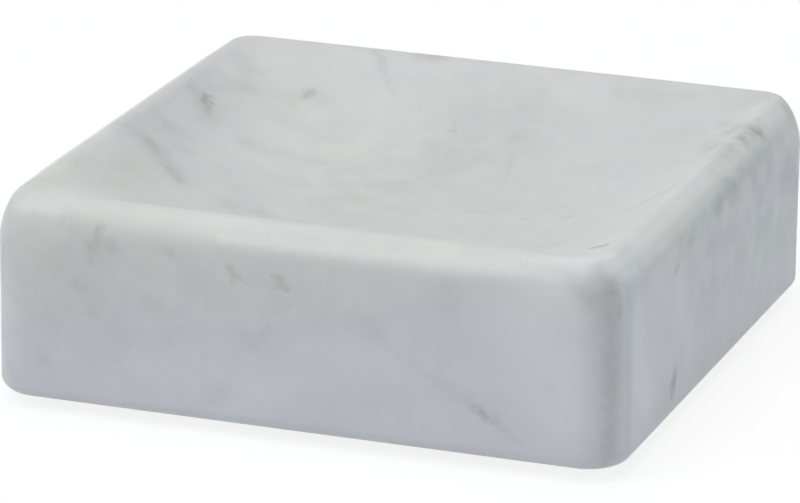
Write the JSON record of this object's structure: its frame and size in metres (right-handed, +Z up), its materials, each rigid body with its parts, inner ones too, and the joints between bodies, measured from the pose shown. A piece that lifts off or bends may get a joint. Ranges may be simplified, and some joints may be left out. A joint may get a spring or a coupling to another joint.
{
  "type": "soap dish",
  "caption": "Square stone soap dish with rounded corners and a smooth bowl-shaped hollow for a bar of soap, standing on round non-slip pads.",
  "frame": {"origin": "on the resting surface, under the middle of the square block", "axes": "+Z up out of the hollow, +X towards the right side and -Y towards the front, the side nearest the picture's camera"},
  "size_m": [0.115, 0.115, 0.0385],
  "materials": {
    "marble": "honed white marble with faint grey clouds and veins",
    "pad_rubber": "satin translucent white rubber",
    "adhesive": "clear adhesive film"
  },
  "bodies": {
    "root": {"stone_dish": "marble", "pad_front_left": "pad_rubber", "pad_front_right": "pad_rubber", "pad_rear_left": "pad_rubber", "pad_rear_right": "pad_rubber", "adhesive_front_left": "adhesive", "adhesive_front_right": "adhesive", "adhesive_rear_left": "adhesive", "adhesive_rear_right": "adhesive"}
  },
  "joints": []
}
